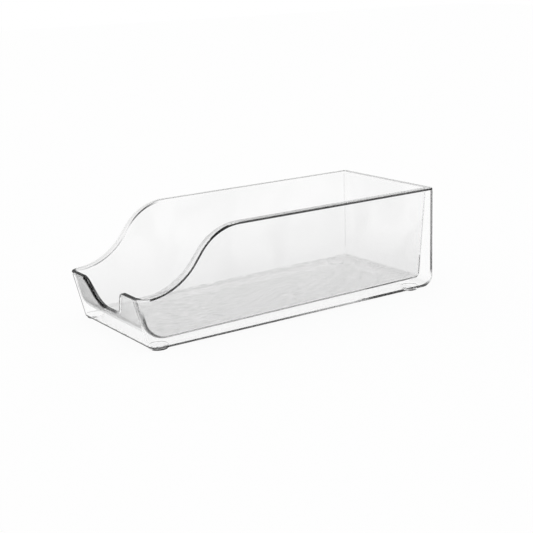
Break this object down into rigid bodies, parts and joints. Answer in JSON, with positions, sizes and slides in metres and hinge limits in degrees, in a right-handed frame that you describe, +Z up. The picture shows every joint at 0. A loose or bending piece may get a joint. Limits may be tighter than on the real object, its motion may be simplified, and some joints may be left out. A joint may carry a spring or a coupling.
{
  "type": "fridge can organizer",
  "caption": "Long clear double-walled open bin for drink cans, high at the rear, its sides sweeping down to a low scooped front lip with a finger notch.",
  "frame": {"origin": "centre of the footprint, at the height the pads stand on", "axes": "+X to the right seen from the lip, +Y from the lip to the rear wall, +Z up"},
  "size_m": [0.148, 0.35, 0.1068],
  "materials": {
    "outer_shell": "clear moulded plastic, polished",
    "inner_tub": "clear moulded plastic, polished, floor finely grained",
    "foot": "soft clear pad, satin"
  },
  "bodies": {
    "root": {"outer_shell": "outer_shell", "inner_tub": "inner_tub", "foot_front_left": "foot", "foot_front_right": "foot", "foot_rear_left": "foot", "foot_rear_right": "foot"}
  },
  "joints": []
}
